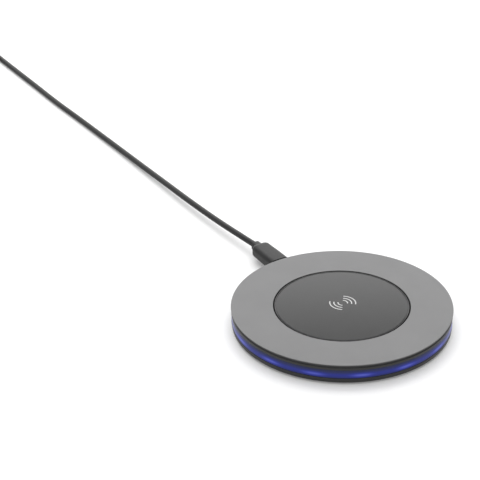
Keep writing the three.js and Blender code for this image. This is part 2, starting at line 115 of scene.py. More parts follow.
LED_COUNT = 15
GLOW_CORE = 0.38                     # how far up the lit band it is brightest, as a share of its height
GLOW_REACH = 1.9

SYMBOL_RADII = (2.15, 4.0, 5.85)
SYMBOL_STROKE = 0.52
SYMBOL_TURN = -34.6
SYMBOL_SPAN = (-10, 88)
SYMBOL_CENTRE = (1.45, 1.35)
SYMBOL_HEIGHT = 0.02
SYMBOL_STEPS = 28

CORD_D = 3.0
COIL_CENTRE = (-25.6, 400.0)
COIL_R = 20.0                        # of the outermost turn
COIL_PITCH = 3.0

USB_A = {"x": -48.5, "z": 4.0, "back": 363.3, "front": 339.3, "neck": 372.3, "tip": 320.5}
WINDOW_OFFSETS = (-3, 3)             # the holes in the shell's wide faces
WINDOW_HALF_SIZE = (1.2, 1.1)
WINDOW_FROM_GRIP = 10
CONTACT_OFFSETS = (-3.5, -1.0, 1.0, 3.5)
CONTACT_HALF_WIDTH = 0.5
CONTACT_ALONG = (1.9, 9.6)           # from the plug's mouth
CONTACT_Z = (-0.25, -0.08)           # from the plug's middle

TIE_ALONG = (12.25, 21.75)           # inside of its loop, from the coil's centre along Y
TIE_HEIGHT = (0.5, 6.75)
TIE_THICKNESS = 0.5
TIE_WIDTH = 7.0

FLOOR_HALF = 6000
FLOOR_LEVEL = -0.02
FLOOR_GLOW = 0.16
SURROUNDINGS = 0.58                  # brightness of the pale room round the pad
SMOOTH_ANGLE = math.radians(35)      # edges sharper than this stay sharp

# ---------------------------------------------------------------- camera

CAMERA_AIM = Vector((1.57, 92.24, 0)) * MM
CAMERA_HEADING = math.radians(30.468)
CAMERA_ELEVATION = math.radians(28.696)
CAMERA_ROLL = math.radians(-0.807)
CAMERA_DISTANCE = 805.2 * MM
CAMERA_LENS = 121.56


def add_camera():
    """Camera that looks down at CAMERA_AIM along its heading, a compass angle from +Y."""
    data = bpy.data.cameras.new("camera")
    data.sensor_width = 36
    data.lens = CAMERA_LENS
    data.clip_end = 20
    camera = bpy.data.objects.new("camera", data)
    bpy.context.scene.collection.objects.link(camera)
    level = math.cos(CAMERA_ELEVATION)
    view = Vector((
        math.sin(CAMERA_HEADING) * level,
        math.cos(CAMERA_HEADING) * level,
        -math.sin(CAMERA_ELEVATION),
    ))
    camera.location = CAMERA_AIM - view * CAMERA_DISTANCE
    camera.rotation_mode = "QUATERNION"
    camera.rotation_quaternion = view.to_track_quat("-Z", "Y") @ Quaternion((0, 0, 1), CAMERA_ROLL)
    bpy.context.scene.camera = camera


# ---------------------------------------------------------------- materials

def principled(name, **values):
    """A new material, its Principled shader, with the sockets named in values set."""
    material = bpy.data.materials.new(name)
    material.use_nodes = True
    shader = material.node_tree.nodes["Principled BSDF"]
    for key, value in values.items():
        shader.inputs[key.replace("_", " ")].default_value = value
    return material, shader


def grey(level):
    """A neutral colour."""
    return level, level, level


def add_node(material, kind, **settings):
    """A new shader node with its settings."""
    node = material.node_tree.nodes.new(kind)
    for key, value in settings.items():
        setattr(node, key, value)
    return node


def link(material, output, socket):
    """Joins a node's output to an input socket."""
    material.node_tree.links.new(output, socket)


def place(material):
    """Where a point lies on the object, in metres."""
    return add_node(material, "ShaderNodeTexCoord").outputs["Object"]


def noise(material, size, detail=3.0, roughness=0.55, stretch=(1, 1, 1)):
    """Noise whose grains are about size millimetres."""
    mapping = add_node(material, "ShaderNodeMapping")
    mapping.inputs["Scale"].default_value = stretch
    link(material, place(material), mapping.inputs["Vector"])
    texture = add_node(material, "ShaderNodeTexNoise")
    texture.inputs["Scale"].default_value = 1 / (size * MM)
    texture.inputs["Detail"].default_value = detail
    texture.inputs["Roughness"].default_value = roughness
    link(material, mapping.outputs["Vector"], texture.inputs["Vector"])
    return texture.outputs["Fac"]


def spread(material, factor, low, high):
    """factor from 0 to 1 mapped to the range low to high."""
    node = add_node(material, "ShaderNodeMapRange")
    node.inputs["To Min"].default_value = low
    node.inputs["To Max"].default_value = high
    link(material, factor, node.inputs["Value"])
    return node.outputs["Result"]


def ramp(material, factor, *stops):
    """Colour along factor; each stop is (position, (r, g, b))."""
    node = add_node(material, "ShaderNodeValToRGB")
    elements = node.color_ramp.elements
    while len(elements) < len(stops):
        elements.new(0.5)
    for element, (position, colour) in zip(elements, stops):
        element.position = position
        element.color = (*colour, 1)
    link(material, factor, node.inputs["Fac"])
    return node.outputs["Color"]


def maths(material, operation, *values):
    """One step of arithmetic on numbers and node outputs."""
    node = add_node(material, "ShaderNodeMath", operation=operation)
    for socket, value in zip(node.inputs, values):
        if isinstance(value, (int, float)):
            socket.default_value = value
        else:
            link(material, value, socket)
    return node.outputs["Value"]


def bump(material, shader, height, depth, strength=1.0):
    """Bumps depth millimetres deep."""
    node = add_node(material, "ShaderNodeBump")
    node.inputs["Strength"].default_value = strength
    node.inputs["Distance"].default_value = depth * MM
    link(material, height, node.inputs["Height"])
    link(material, node.outputs["Normal"], shader.inputs["Normal"])


def ring_metal():
    """Grey anodised aluminium with a fine blasted grain."""
    material, shader = principled("ring_metal", Metallic=0.4)
    patches = noise(material, 14, 2)
    grain = noise(material, 0.16, 2)
    colour = ramp(material, patches, (0.3, (0.122, 0.122, 0.123)), (0.7, (0.131, 0.131, 0.132)))
    link(material, colour, shader.inputs["Base Color"])
    link(material, spread(material, grain, 0.39, 0.49), shader.inputs["Roughness"])
    bump(material, shader, grain, 0.006, 0.5)
    return material


def moulded_plastic(name, dark, light, grain_size=0.22, depth=0.01, rough=(0.42, 0.56), specular=0.5):
    """Moulded plastic with an eroded-tool texture and faint flow clouds."""
    material, shader = principled(name)
    shader.inputs["Specular IOR Level"].default_value = specular
    clouds = noise(material, 9, 3)
    grain = noise(material, grain_size, 3, 0.65)
    link(material, ramp(material, clouds, (0.3, dark), (0.7, light)), shader.inputs["Base Color"])
    link(material, spread(material, grain, *rough), shader.inputs["Roughness"])
    bump(material, shader, grain, depth, 0.6)
    return material


def lit_guide():
    """Frosted light guide, lit blue by the diodes behind it: a soft bright patch at each diode."""
    material, shader = principled("lit_guide", Roughness=0.25)
    shader.inputs["Base Color"].default_value = (0.005, 0.007, 0.05, 1)
    shader.inputs["Specular IOR Level"].default_value = 0.25
    axes = add_node(material, "ShaderNodeSeparateXYZ")
    link(material, place(material), axes.inputs["Vector"])
    angle = maths(material, "ARCTAN2", axes.outputs["Y"], axes.outputs["X"])
    turns = maths(material, "MULTIPLY_ADD", angle, LED_COUNT / TURN, LED_COUNT / 4 + 0.5)
    beside = maths(material, "PINGPONG", turns, 0.5)
    patch = add_node(material, "ShaderNodeMapRange", interpolation_type="SMOOTHERSTEP")
    patch.inputs["From Min"].default_value = 0.1
    patch.inputs["From Max"].default_value = 0.5
    link(material, beside, patch.inputs["Value"])
    core = (GUIDE_BOTTOM + GLOW_CORE * (GUIDE_TOP - GUIDE_BOTTOM)) * MM
    offset = maths(material, "ABSOLUTE", maths(material, "SUBTRACT", axes.outputs["Z"], core))
    height = add_node(material, "ShaderNodeMapRange", interpolation_type="SMOOTHSTEP")
    height.inputs["From Max"].default_value = GLOW_REACH * MM
    height.inputs["To Min"].default_value = 1.0
    height.inputs["To Max"].default_value = 0.0
    link(material, offset, height.inputs["Value"])
    streaks = spread(material, noise(material, 6, 2, 0.5, (1, 1, 0.4)), 0.7, 1.15)
    patches = maths(material, "MULTIPLY", patch.outputs["Result"], streaks)
    level = maths(material, "MULTIPLY_ADD", patches, 0.5, 0.5)
    level = maths(material, "MULTIPLY", level, height.outputs["Result"])
    colour = ramp(material, level, (0.0, (0.010, 0.013, 0.035)), (0.5, (0.010, 0.017, 0.17)),
                  (0.75, (0.028, 0.038, 0.28)), (1.0, (0.07, 0.088, 0.43)))
    link(material, colour, shader.inputs["Emission Color"])
    shader.inputs["Emission Strength"].default_value = 1.0
    bump(material, shader, noise(material, 0.5, 2), 0.01, 0.3)
    return material


def plated_metal(name, colour, rough=(0.2, 0.34)):
    """Plated sheet metal with faint rolling marks along its length."""
    material, shader = principled(name, Metallic=1.0)
    marks = noise(material, 0.4, 2, 0.5, (1, 0.06, 1))
    tint = noise(material, 4, 2)
    darker = tuple(c * 0.86 for c in colour)
    link(material, ramp(material, tint, (0.3, darker), (0.7, colour)), shader.inputs["Base Color"])
    link(material, spread(material, marks, *rough), shader.inputs["Roughness"])
    bump(material, shader, marks, 0.001, 0.25)
    return material


def soft_rubber(name, dark, light, dust=0.15, specular=0.5):
    """Matt rubber with a dusty, slightly uneven skin."""
    material, shader = principled(name)
    shader.inputs["Specular IOR Level"].default_value = specular
    shader.inputs["Sheen Weight"].default_value = dust
    shader.inputs["Sheen Roughness"].default_value = 0.5
    skin = noise(material, 0.35, 4, 0.6)
    clouds = noise(material, 5, 2)
    link(material, ramp(material, clouds, (0.3, dark), (0.7, light)), shader.inputs["Base Color"])
    link(material, spread(material, skin, 0.62, 0.82), shader.inputs["Roughness"])
    bump(material, shader, skin, 0.02, 0.6)
    return material


def printed_ink():
    """Pale pad-printed ink with slightly starved edges of coverage."""
    material, shader = principled("printed_ink")
    cover = noise(material, 0.18, 3, 0.7)
    colour = ramp(material, cover, (0.25, grey(0.38)), (0.6, grey(0.47)))
    link(material, colour, shader.inputs["Base Color"])
    link(material, spread(material, cover, 0.45, 0.6), shader.inputs["Roughness"])
    bump(material, shader, cover, 0.004, 0.4)
    return material


def circuit_green():
    """Solder mask over copper tracks."""
    material, shader = principled("circuit_green", Roughness=0.35)
    tracks = add_node(material, "ShaderNodeTexBrick", offset=0.37)
    tracks.inputs["Scale"].default_value = 260
    tracks.inputs["Mortar Size"].default_value = 0.035
    tracks.inputs["Color1"].default_value = (0.010, 0.085, 0.032, 1)
    tracks.inputs["Color2"].default_value = (0.012, 0.10, 0.038, 1)
    tracks.inputs["Mortar"].default_value = (0.03, 0.19, 0.07, 1)
    link(material, place(material), tracks.inputs["Vector"])
    link(material, tracks.outputs["Color"], shader.inputs["Base Color"])
    bump(material, shader, tracks.outputs["Fac"], 0.03, 0.5)
    return material


def enamelled_copper():
    """Twisted, enamelled copper wire."""
    material, shader = principled("enamelled_copper", Metallic=1.0)
    strands = noise(material, 0.3, 3, 0.6, (1, 1, 0.3))
    colour = ramp(material, strands, (0.3, (0.36, 0.11, 0.03)), (0.7, (0.55, 0.20, 0.07)))
    link(material, colour, shader.inputs["Base Color"])
    link(material, spread(material, strands, 0.25, 0.45), shader.inputs["Roughness"])
    bump(material, shader, strands, 0.05, 0.7)
    return material


def speckled(name, dark, light, grain_size, depth, rough, metallic=0.0):
    """Plain technical surfaces of the inner pieces: foam, ferrite, film, ceramic."""
    material, shader = principled(name, Metallic=metallic)
    grain = noise(material, grain_size, 4, 0.7)
    link(material, ramp(material, grain, (0.3, dark), (0.7, light)), shader.inputs["Base Color"])
    link(material, spread(material, grain, *rough), shader.inputs["Roughness"])
    bump(material, shader, grain, depth, 0.7)
    return material


def diode_lens():
    """Clear blue-glowing lens of a side-firing diode."""
    material, shader = principled("diode_lens", Roughness=0.15)
    grain = noise(material, 0.6, 2)
    colour = ramp(material, grain, (0.3, (0.1, 0.12, 0.8)), (0.7, (0.2, 0.24, 1.0)))
    link(material, colour, shader.inputs["Emission Color"])
    link(material, colour, shader.inputs["Base Color"])
    shader.inputs["Emission Strength"].default_value = 2.0
    return material


def make_looks():
    """The material for each of the record's slots, and the extra ones."""
    return {
        "ring_metal": ring_metal(),
        "case_plastic": moulded_plastic("case_plastic", grey(0.010), grey(0.014)),
        "disc_plastic": moulded_plastic("disc_plastic", grey(0.008), grey(0.011), 0.12, 0.002, (0.15, 0.20)),
        "light_guide": lit_guide(),
        "adhesive": speckled("adhesive_film", (0.50, 0.47, 0.38), (0.60, 0.57, 0.48), 0.8, 0.01, (0.5, 0.7)),
        "rubber": soft_rubber("foot_rubber", grey(0.018), grey(0.026)),
        # gasket: near-black and barely glossy, partly its own dark rubber and partly painted shade of the gap
        # round the disc
        "gasket": soft_rubber("gasket_rubber_painted_shade", grey(0.002), grey(0.003), 0, 0.1),
        "steel": plated_metal("plated_steel", (0.62, 0.62, 0.61)),
        "board": circuit_green(),
        "foam": speckled("open_foam", (0.11, 0.11, 0.105), (0.19, 0.19, 0.18), 0.4, 0.15, (0.85, 0.95)),
        "ferrite": speckled(
            "ferrite", (0.03, 0.03, 0.034), (0.055, 0.055, 0.06), 0.3, 0.02, (0.45, 0.65), 0.3),
        "copper": enamelled_copper(),
        "chip": moulded_plastic("chip_epoxy", (0.010, 0.010, 0.011), (0.014, 0.014, 0.015), 0.1, 0.006),
        "ceramic": speckled(
            "capacitor_ceramic", (0.28, 0.18, 0.10), (0.36, 0.24, 0.14), 0.3, 0.01, (0.4, 0.6)),
        "led": diode_lens(),
        "cord_jacket": moulded_plastic(
            "cord_jacket", grey(0.009), grey(0.012), 0.3, 0.012, (0.42, 0.54), 0.3),
        "insulator": moulded_plastic("insulator_plastic", grey(0.012), grey(0.016), 0.1, 0.004),
        "gold": plated_metal("gold_contact", (0.83, 0.60, 0.24), (0.15, 0.28)),
        "ink": printed_ink(),
        "tie": soft_rubber("tie_fabric", (0.014, 0.014, 0.015), (0.024, 0.024, 0.025)),
    }


looks = make_looks()

# ---------------------------------------------------------------- mesh helpers


def fillet(corners, steps=5, closed=False):
    """Rounds the corners of a path. Each corner is a point in 2 or 3 numbers and then its radius."""
    points = [Vector((*corner[:-1], 0, 0)[:3]) for corner in corners]
    count = len(points)
    path = []
    for i, (here, corner) in enumerate(zip(points, corners)):
        radius = corner[-1]
        if radius == 0 or (not closed and i in (0, count - 1)):
            path.append(here)
            continue
        before = points[i - 1] - here
        after = points[(i + 1) % count] - here
        half = before.angle(after) / 2
        back = radius / math.tan(half)
        centre = here + (before.normalized() + after.normalized()).normalized() * radius / math.sin(half)
        first = here + before.normalized() * back - centre
        last = here + after.normalized() * back - centre
        support = 0.5 * back
        if before.length > 3 * back:
            path.append(centre + first + before.normalized() * support)
        path += [centre + first.slerp(last, step / steps) * radius for step in range(steps + 1)]
        if after.length > 3 * back:
            path.append(centre + last + after.normalized() * support)
    return path


def new_piece(name, vertices, faces, body, slot, look, replaced=()):
    """A closed mesh object, its places in millimetres, that rides on a body."""
    mesh = bpy.data.meshes.new(name)
    mesh.from_pydata([Vector(v) * MM for v in vertices], [], faces)
    piece = bpy.data.objects.new(name, mesh)
    bpy.context.scene.collection.objects.link(piece)
    tidy_mesh(piece)
    if body:
        dress(piece, body, look, replaced)
    return piece


def tidy_mesh(piece):
    """Welds, turns faces outward and shades smooth up to SMOOTH_ANGLE."""
    work = bmesh.new()
    work.from_mesh(piece.data)
    bmesh.ops.remove_doubles(work, verts=work.verts, dist=1e-7)
    bmesh.ops.recalc_face_normals(work, faces=work.faces)
    for face in work.faces:
        face.smooth = True
    for edge in work.edges:
        edge.smooth = not edge.is_manifold or edge.calc_face_angle(0) < SMOOTH_ANGLE
    work.to_mesh(piece.data)
    work.free()


def dress(piece, body, look, replaced=()):
    """Gives a piece its body, its material and the CAD nodes that it stands for."""
    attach(piece, body)
    piece.data.materials.clear()
    piece.data.materials.append(looks[look])
    if replaced:
        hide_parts(*replaced)


def strip(first, second, size):
    """Faces between two closed rows of points, given by the number of each row's first point."""
    return [(first + j, second + j, second + (j + 1) % size, first + (j + 1) % size) for j in range(size)]


def turned(profile, steps=288, start=0.0, sweep=360.0):
    """Vertices and faces of a profile of (radius, height) points turned about Z.

    A sweep of less than a full turn gets a cap at each end.
    """
    full = sweep >= 360
    rings = steps if full else steps + 1
    size = len(profile)
    vertices = []
    for i in range(rings):
        angle = math.radians(start + sweep * i / steps)
        vertices += [(p[0] * math.cos(angle), p[0] * math.sin(angle), p[1]) for p in profile]
    faces = []
    for i in range(steps):
        faces += strip(i * size, (i + 1) % rings * size, size)
    if not full:
        faces += [tuple(range(size)), tuple(range((rings - 1) * size, rings * size))]
    return vertices, faces


def lofted(sections):
    """Vertices and faces of a closed skin through sections with equally many points."""
    size = len(sections[0])
    vertices = [point for section in sections for point in section]
    faces = []
    for i in range(len(sections) - 1):
        faces += strip(i * size, (i + 1) * size, size)
    faces += [tuple(range(size)), tuple(range(len(vertices) - size, len(vertices)))]
    return vertices, faces


def rounded_section(half_width, half_height, roundness, per_corner=8):
    """Points round a rounded rectangle; roundness is the corner's share of the smaller half."""
    corner = roundness * min(half_width, half_height)
    points = []
    for quarter, (sx, sz) in enumerate(((1, 1), (-1, 1), (-1, -1), (1, -1))):
        for i in range(per_corner + 1):
            angle = TURN / 4 * (quarter + i / per_corner)
            points.append((sx * (half_width - corner) + corner * math.cos(angle),
                           sz * (half_height - corner) + corner * math.sin(angle)))
    return points


def bar_along_y(stations, roundness, centre, per_corner=8):
    """Skin along Y through stations (y, half width, half height, fillet radius)."""
    sections = []
    for y, half_width, half_height in fillet(stations):
        outline = rounded_section(half_width, half_height, roundness, per_corner)
        sections.append([(centre[0] + x, y, centre[1] + z) for x, z in outline])
    return lofted(sections)


def carve(piece, tool, operation="DIFFERENCE"):
    """Cuts or joins another object into piece, and deletes that object."""
    modifier = piece.modifiers.new("carve", "BOOLEAN")
    modifier.operation = operation
    modifier.solver = "EXACT"
    modifier.object = tool
    bpy.context.view_layer.update()
    result = bpy.data.meshes.new_from_object(piece.evaluated_get(bpy.context.evaluated_depsgraph_get()))
    piece.modifiers.clear()
    piece.data = result
    bpy.data.objects.remove(tool)
    tidy_mesh(piece)


def tool_from(vertices, faces):
    """An object for carve, which belongs to no body."""
    return new_piece("cutting_tool", vertices, faces, None, None, None)


def block(low, high):
    """Vertices and faces of a block between two opposite corners."""
    xs, ys, zs = zip(low, high)
    vertices = [(x, y, z) for x in xs for y in ys for z in zs]
    faces = [(0, 1, 3, 2), (4, 6, 7, 5), (0, 4, 5, 1), (2, 3, 7, 6), (0, 2, 6, 4), (1, 5, 7, 3)]
    return vertices, faces


def shifted(vertices, x, y):
    """The same vertices, moved in the level plane."""
    return [(x + v[0], y + v[1], v[2]) for v in vertices]


# ---------------------------------------------------------------- cord

# where the cord runs once it has left the plug
CORD_ROUTE = [
    (0, 75.3, PORT_Z), (-0.55, 82, 5.5), (-1.05, 90, 5.25), (-1.55, 98, 5), (-1.93, 106, 4.75),
    (-2.24, 114, 4.53), (-2.5, 123, 4.3), (-2.7, 133, 4.05), (-2.78, 144, 3.75), (-2.77, 156, 3.41),
    (-2.74, 169, 3), (-2.73, 184, 2.53), (-2.76, 201, 2.12), (-2.95, 220, 1.81), (-3.35, 242, 1.62),
    (-3.95, 266, 1.55), (-4.8, 290, 1.55), (-5.05, 322, 1.55), (-5.3, 345, 1.55), (-5.5, 365, 1.55),
    (-5.6, 378, 1.6), (-5.6, 388, 1.65),
]
CORD_TAIL = [(-45.9, 389, 4.7), (-46.6, 383.5, 4.55), (-47.6, 378, 4.3), (-48.3, 372.6, 4.05)]
CROSSOVER = 80                       # degrees that a turn takes to change its place
INWARD_AT = (310, 670)               # lower layer: where each turn moves in by one place
CLIMB_AT = 980
OUTWARD_AT = (1290, 1650)            # upper layer: where each turn moves out again
COIL_END = 1980
COIL_STEP = 12
TIE_LIFT = 0.55                      # how high the tie lifts the turns that lie on it
LAYER = 3.02                         # from the lower layer up to the upper one


def smooth_step(value):
    """Goes from 0 to 1 with level ends while value goes from 0 to 1."""
    value = min(max(value, 0), 1)
    return value * value * (3 - 2 * value)


def coil_point(angle):
    """A point of the wound cord, after it has turned by angle degrees."""
    place_in = sum(smooth_step((angle - at) / CROSSOVER) for at in INWARD_AT)
    place_out = sum(smooth_step((angle - at) / CROSSOVER) for at in OUTWARD_AT)
    radius = COIL_R - (place_in - place_out) * COIL_PITCH
    facing = 0.5 + 0.5 * math.cos(math.radians(angle - 90))
    lift = TIE_LIFT * facing ** 2 + LAYER * smooth_step((angle - CLIMB_AT) / CROSSOVER)
    turn = math.radians(angle)
    x = COIL_CENTRE[0] + radius * math.cos(turn)
    y = COIL_CENTRE[1] + radius * math.sin(turn)
    return x, y, CORD_D / 2 + lift


def add_cord():
    """The cord as a round curve; returns it, the point where it leaves the plug, and its length."""
    wound = [coil_point(angle) for angle in range(0, COIL_END + 1, COIL_STEP)]
    points = [Vector(p) * MM for p in CORD_ROUTE + wound + CORD_TAIL]
    curve = bpy.data.curves.new("usb_cord", "CURVE")
    curve.dimensions = "3D"
    curve.bevel_depth = CORD_D / 2 * MM
    curve.bevel_resolution = 6
    curve.resolution_u = 6
    curve.use_fill_caps = True
    spline = curve.splines.new("BEZIER")
    spline.bezier_points.add(len(points) - 1)
    for knot, point in zip(spline.bezier_points, points):
        knot.co = point
        knot.handle_left_type = knot.handle_right_type = "AUTO"
    cord = bpy.data.objects.new("usb_cord", curve)
    bpy.context.scene.collection.objects.link(cord)
    curve.materials.append(looks["cord_jacket"])
    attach(cord, "usb_cable")
    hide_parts("cord_run", "cord_coil", "cord_tail")
    length = sum((b - a).length for a, b in zip(points, points[1:]))
    return cord, points[0], length


# ---------------------------------------------------------------- pad

def add_trim_ring():
    """Flat metal ring round the disc, its top edges rounded."""
    profile = fillet([
        (RING_INNER_R, RING_BOTTOM, 0.03), (PAD_R, RING_BOTTOM, 0.06),
        (PAD_R, PAD_TOP, 0.1), (RING_INNER_R, PAD_TOP, 0.06),
    ], closed=True)
    new_piece("metal_ring", *turned(profile), "pad", "ring_metal", "ring_metal", ["trim_ring"])


def add_disc():
    """Disc with a narrow rim, set off by a groove."""
    inner, outer = DISC_GROOVE_R
    groove = DISC_TOP - DISC_GROOVE_DEPTH
    profile = fillet([
        (0, DISC_BOTTOM, 0), (DISC_R, DISC_BOTTOM, 0.1), (DISC_R, DISC_TOP, 0.08), (outer, DISC_TOP, 0.05),
        (outer, groove, 0.06), (inner, groove, 0.06), (inner, DISC_TOP, 0.05), (0, DISC_TOP, 0),
    ])
    new_piece("charging_disc", *turned(profile), "pad", "disc_plastic", "disc_plastic", ["centre_disc"])


def add_gasket():
    """Rubber ring in the joint between the disc and the metal ring, its top edge rounded. Its near-black,
    barely glossy material is partly its own dark rubber and partly painted shade of the gap round the disc.
    """
    inner, outer = GASKET_R
    bottom = LEDGE_TOP + GASKET_GAP
    profile = fillet([
        (inner, bottom, 0.05), (outer, bottom, 0.05), (outer, GASKET_TOP, 0.1), (inner, GASKET_TOP, 0.1),
    ], closed=True)
    new_piece("rubber_gasket", *turned(profile), "pad", "rubber", "gasket", ["disc_gasket"])


def add_symbol():
    """Two opposite groups of three arcs printed on the disc, the plain sign for wireless charging."""
    low, high = SYMBOL_SPAN
    for group, half_turn in enumerate((0, 180)):
        start = SYMBOL_TURN + half_turn + low
        angles = [math.radians(start + (high - low) * i / SYMBOL_STEPS) for i in range(SYMBOL_STEPS + 1)]
        for ring, radius in enumerate(SYMBOL_RADII):
            outline = [(radius + SYMBOL_STROKE / 2, angle) for angle in angles]
            outline += [(radius - SYMBOL_STROKE / 2, angle) for angle in reversed(angles)]
            flat = [
                (SYMBOL_CENTRE[0] + r * math.cos(a), SYMBOL_CENTRE[1] + r * math.sin(a)) for r, a in outline
            ]
            bottom = [(x, y, DISC_TOP - SYMBOL_HEIGHT) for x, y in flat]
            top = [(x, y, DISC_TOP + SYMBOL_HEIGHT) for x, y in flat]
            new_piece(f"symbol_arc_{3 * group + ring + 1}", *lofted([bottom, top]), "pad", "led", "ink")


def port_hole():
    """Tool for the opening that the plug goes through."""
    stations = [(y, *PORT_HALF_SIZE, 0) for y in PORT_DEPTH]
    return tool_from(*bar_along_y(stations, 0.5, (0, PORT_Z)))


def add_upper_housing():
    """Dark rim band under the metal ring, with the deck and the ledge that the ring and the disc lie on."""
    rim_bottom = GUIDE_TOP + HOUSING_GAP
    profile = fillet([
        (CASE_R, rim_bottom, 0.12), (CASE_R, HOUSING_RIM, 0.22), (GROOVE_R, HOUSING_RIM, 0.05),
        (GROOVE_R, DECK_TOP, 0), (DISC_SEAT_R, DECK_TOP, 0), (DISC_SEAT_R, LEDGE_TOP, 0),
        (LEDGE_INNER_R, LEDGE_TOP, 0), (LEDGE_INNER_R, LEDGE_BOTTOM, 0),
        (HOUSING_SKIRT_R, LEDGE_BOTTOM, 0), (HOUSING_SKIRT_R, rim_bottom, 0),
    ], closed=True)
    new_piece("upper_case", *turned(profile), "pad", "case_plastic", "case_plastic", ["upper_housing"])


def add_light_guide():
    """The lit band, open where the socket's block stands."""
    profile = fillet([
        (GUIDE_INNER_R, GUIDE_BOTTOM, 0.1), (GUIDE_R, GUIDE_BOTTOM, 0.25), (GUIDE_R, GUIDE_WAIST_FROM, 4),
        (GUIDE_WAIST_R, GUIDE_TOP, 0.3), (GUIDE_INNER_R, GUIDE_TOP, 0.1),
    ], closed=True)
    gap = PORT_HALF_ANGLE + GUIDE_END_GAP
    band = turned(profile, 288, 90 + gap, 360 - 2 * gap)
    new_piece("glowing_band", *band, "pad", "light_guide", "light_guide", ["light_guide"])


def add_lower_case():
    """Round tray with the socket's block on its rim and a recess for each foot."""
    seam_inner, seam_outer = CASE_SEAM_R
    seam = CASE_BOTTOM + CASE_SEAM_DEPTH
    rib_inner, rib_outer = CASE_RIB_R
    profile = fillet([
        (0, CASE_BOTTOM, 0), (seam_inner, CASE_BOTTOM, 0.08), (seam_inner, seam, 0.05),
        (seam_outer, seam, 0.05), (seam_outer, CASE_BOTTOM, 0.08), *CASE_EDGE,
        (CASE_R, CASE_RIM, 0.15), (CASE_WALL_R, CASE_RIM, 0), (CASE_WALL_R, CASE_FLOOR, 0),
        (rib_outer, CASE_FLOOR, 0), (rib_outer, CASE_RIB_TOP, 0), (rib_inner, CASE_RIB_TOP, 0),
        (rib_inner, CASE_FLOOR, 0), (0, CASE_FLOOR, 0),
    ])
    case = new_piece("lower_case", *turned(profile), "pad", "case_plastic", "case_plastic", ["bottom_case"])
    side = fillet([
        (PORT_BLOCK_R, PORT_BLOCK_BOTTOM, 0), (CASE_R, PORT_BLOCK_BOTTOM, 0),
        (CASE_R, GUIDE_TOP, 0.15), (PORT_BLOCK_R, GUIDE_TOP, 0),
    ], closed=True)
    carve(case, tool_from(*turned(side, 24, 90 - PORT_HALF_ANGLE, 2 * PORT_HALF_ANGLE)), "UNION")
    carve(case, port_hole())
    radius = FOOT_R + FOOT_RECESS_GAP[0]
    top = FOOT_TOP + FOOT_RECESS_GAP[1]
    below = CASE_BOTTOM - 1
    vertices, faces = turned(fillet([(0, below, 0), (radius, below, 0), (radius, top, 0.1), (0, top, 0)]), 64)
    for x, y in foot_places():
        carve(case, tool_from(shifted(vertices, x, y), faces))
    dress(case, "pad", "case_plastic", ["bottom_case"])


def foot_places():
    """Where the middle of each foot lies."""
    for number in range(1, 5):
        low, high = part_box(f"foot_{number}")
        yield (low.x + high.x) / 2 / MM, (low.y + high.y) / 2 / MM


def add_feet():
    """Round rubber feet with a shallow dish in the middle."""
    dish_inner, dish_outer = FOOT_DISH_R
    profile = fillet([
        (0, FOOT_DISH_DEPTH, 0), (dish_inner, FOOT_DISH_DEPTH, 0.05), (dish_outer, 0, 0.05),
        (FOOT_R, 0, 0.35), (FOOT_R, FOOT_TOP, 0.08), (0, FOOT_TOP, 0),
    ])
    vertices, faces = turned(profile, 64)
    for number, (x, y) in enumerate(foot_places(), 1):
        moved = shifted(vertices, x, y)
        new_piece(f"rubber_foot_{number}", moved, faces, "pad", "rubber", "rubber", [f"foot_{number}"])


# ---------------------------------------------------------------- plugs

def add_micro_plug():
    """Grip with a narrower nose at the socket and a short neck round the cord."""
    stations = [
        (50.3, 4.45, 2.7, 0), (52.4, 4.45, 2.7, 0),
        (52.4, 5.0, 3.25, 0.2), (60, 5.0, 3.25, 12), (71, 4.75, 3.1, 1.7),
        (71, 2.45, 2.35, 0.3), (74.8, 2.3, 2.2, 0.35), (75, 1.85, 1.75, 0),
    ]
    grip = bar_along_y(stations, 0.72, (0, PORT_Z), 10)
    new_piece("micro_plug_grip", *grip, "usb_cable", "cord_jacket", "cord_jacket", ["plug_grip"])


def add_micro_tip():
    """Metal tip of the small plug, in the place of its CAD node."""
    low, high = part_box("plug_tip_shell")
    ends = (low.y / MM, high.y / MM)
    sheet_tube("micro_plug_tip", (0, PORT_Z), high.x / MM, 0.9, 0.3, *ends, ["plug_tip_shell"])


def sheet_tube(name, centre, half_width, half_height, wall, tip, root, replaced, roundness=0.4):
    """Open metal shell of a plug, along Y, its mouth at tip."""
    sections = []
    lip = 0.12
    outside = [(root, 0), (tip + lip, 0), (tip, lip)]
    inside = [(tip, wall - lip / 2), (tip + lip, wall), (root, wall)]
    for y, inset in outside + inside:
        outline = rounded_section(half_width - inset, half_height - inset, roundness, 6)
        sections.append([(centre[0] + x, y, centre[1] + z) for x, z in outline])
    size = len(sections[0])
    vertices, faces = lofted(sections)
    faces = faces[:-2] + strip((len(sections) - 1) * size, 0, size)
    return new_piece(name, vertices, faces, "usb_cable", "steel", "steel", replaced)


